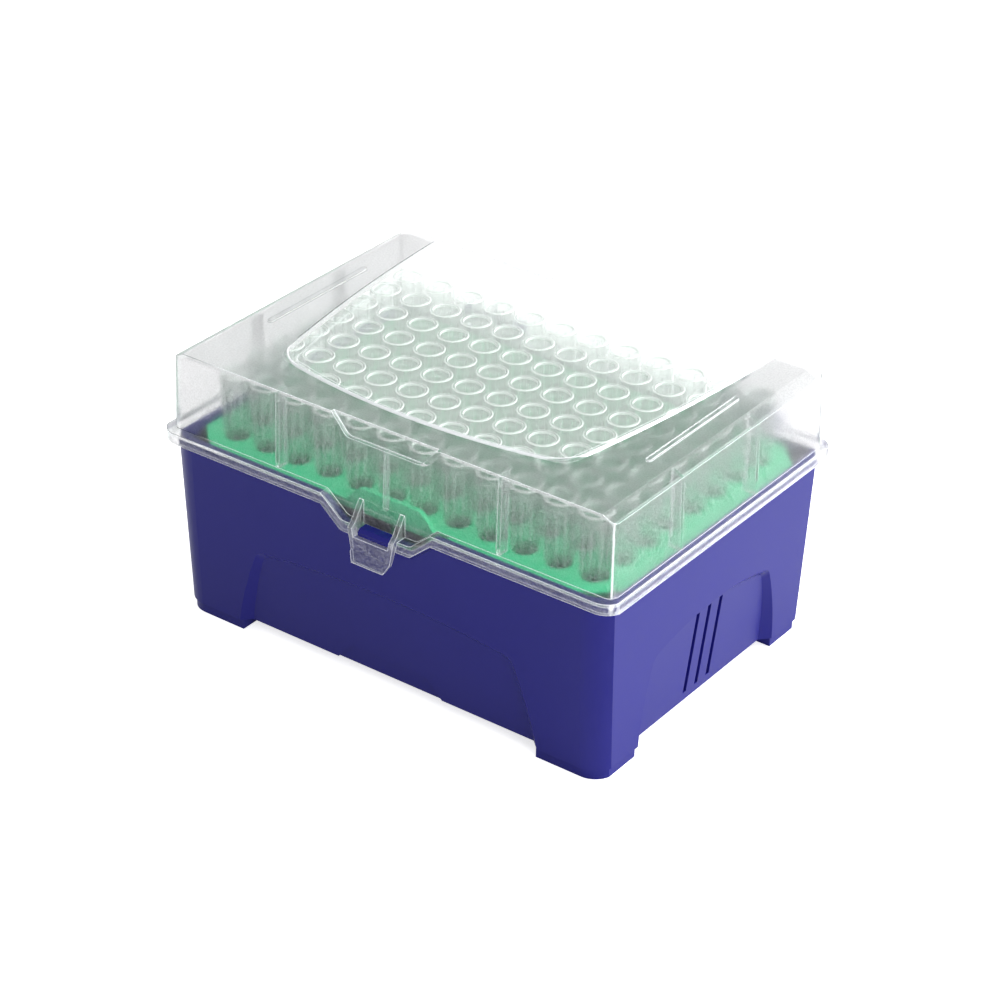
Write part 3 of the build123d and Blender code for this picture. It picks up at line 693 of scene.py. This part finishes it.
def new_object(name, data):
    """An object that is in the scene."""
    made = bpy.data.objects.new(name, data)
    bpy.context.scene.collection.objects.link(made)
    return made


def column_mesh(name, tree, **inputs):
    """The plain mesh of one column of tips."""
    holder = new_object("column maker", bpy.data.meshes.new("column maker"))
    modifier = holder.modifiers.new("tips", "NODES")
    modifier.node_group = tree
    set_inputs(modifier, **inputs)
    graph = bpy.context.evaluated_depsgraph_get()
    mesh = bpy.data.meshes.new_from_object(holder.evaluated_get(graph))
    bpy.data.objects.remove(holder)
    mesh.name = name
    mesh.shade_smooth()
    mesh.set_sharp_from_angle(angle=SHARP_ANGLE)
    return mesh


def make_tips(finish):
    """A detailed column of tips in place of each plain one."""
    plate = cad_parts["tip_plate"].data
    plate_top = max(point.co.z for point in plate.vertices if abs(point.co.x) > DECK_FROM)
    columns = sorted(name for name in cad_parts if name.startswith("tips_column_"))
    first_low, first_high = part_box(columns[0])
    width = first_high.x - first_low.x
    length = first_high.y - first_low.y - width
    rows = round(length / TIP_PITCH) + 1
    sections = tip_sections((first_low, first_high), plate_top)
    pattern = new_object("tip pattern", tip_mesh("tip pattern", sections))
    tree = column_tree()
    for name in columns:
        low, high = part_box(name)
        mesh = column_mesh(
            name.replace("tips", "detailed_tips"),
            tree,
            tip=pattern,
            count=rows,
            first=((low.x + high.x) / 2, low.y + width / 2, 0.0),
            pitch=length / (rows - 1),
            finish=finish,
        )
        piece = new_object(mesh.name, mesh)
        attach(piece, "base")
        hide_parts(name)
    bpy.data.objects.remove(pattern)


# Setting

def make_floor(z):
    """Wide floor under the feet."""
    half = FLOOR_HALF
    mesh = bpy.data.meshes.new("floor")
    outline = [(-half, -half, z), (half, -half, z), (half, half, z), (-half, half, z)]
    mesh.from_pydata(outline, [], [(0, 1, 2, 3)])
    mesh.materials.append(floor_paint())
    floor = new_object("floor", mesh)


def make_lamp(name, place, aim, size, power):
    """A rectangular soft box that faces a point."""
    lamp = bpy.data.lights.new(name, "AREA")
    lamp.shape = "RECTANGLE"
    lamp.size, lamp.size_y = size
    lamp.energy = power
    box = new_object(name, lamp)
    box.location = place
    box.rotation_euler = (Vector(aim) - Vector(place)).to_track_quat("-Z", "Y").to_euler()


def make_world():
    """Even studio light, but plain white wherever the background itself shows."""
    world = bpy.data.worlds.new("studio")
    bpy.context.scene.world = world
    world.use_nodes = True
    tree = world.node_tree
    tree.nodes.clear()
    soft = add(tree, "ShaderNodeBackground", {"Color": SOFT_WHITE, "Strength": SOFT_LIGHT})
    white = add(tree, "ShaderNodeBackground", {"Color": PLAIN_WHITE, "Strength": 1.0})
    mixed = mix_shaders(tree, background_rays(tree), soft.outputs[0], white.outputs[0])
    add(tree, "ShaderNodeOutputWorld", {"Surface": mixed})


def make_lights():
    """Two panels behind, a side light that grazes the right end, and weak fills."""
    for lamp in LAMPS:
        make_lamp(*lamp)


def make_camera():
    """Camera in front of the box and to its right, looking down, and rolled slightly."""
    turn, rise = math.radians(CAMERA_AZIMUTH), math.radians(CAMERA_ELEVATION)
    level_reach = math.cos(rise)
    back = Vector((math.sin(turn) * level_reach, -math.cos(turn) * level_reach, math.sin(rise)))
    data = bpy.data.cameras.new("camera")
    data.lens = CAMERA_LENS
    data.sensor_width = CAMERA_FILM
    data.clip_start, data.clip_end = CAMERA_CLIP
    camera = new_object("camera", data)
    camera.location = CAMERA_AIM + back * CAMERA_DISTANCE
    level = (-back).to_track_quat("-Z", "Y").to_matrix().to_4x4()
    roll = Matrix.Rotation(math.radians(CAMERA_ROLL), 4, "Z")
    camera.rotation_euler = (level @ roll).to_euler()
    bpy.context.scene.camera = camera


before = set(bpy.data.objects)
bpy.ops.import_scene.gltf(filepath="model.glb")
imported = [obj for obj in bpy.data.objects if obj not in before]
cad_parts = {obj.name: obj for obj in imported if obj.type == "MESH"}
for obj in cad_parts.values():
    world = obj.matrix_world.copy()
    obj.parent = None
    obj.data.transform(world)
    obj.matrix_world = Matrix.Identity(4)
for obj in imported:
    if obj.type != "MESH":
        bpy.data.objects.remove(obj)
cad_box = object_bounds()
grain = moulded_grain_group()
edge = edge_highlight_group()
lid_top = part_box("lid")[1].z
corner = corner_highlight_group()
blue = opaque_plastic("tub plastic", TUB_BLUE, TUB_BLUE_DEEP, grain, TUB_SURFACE)
green = opaque_plastic("plate plastic", PLATE_GREEN, PLATE_GREEN_DEEP, grain, PLATE_SURFACE)
finish_node("tub", blue)
finish_node("tip_plate", green)
finish_node("lid", lid_plastic(grain, edge, corner, window_shape_group(), lid_top))
make_tips(tip_plastic(grain))
make_floor(cad_box[0].z)
make_world()
make_lights()
make_camera()
bpy.context.scene.view_settings.view_transform = "Standard"
bpy.context.scene.cycles.transparent_max_bounces = CLEAR_LAYERS
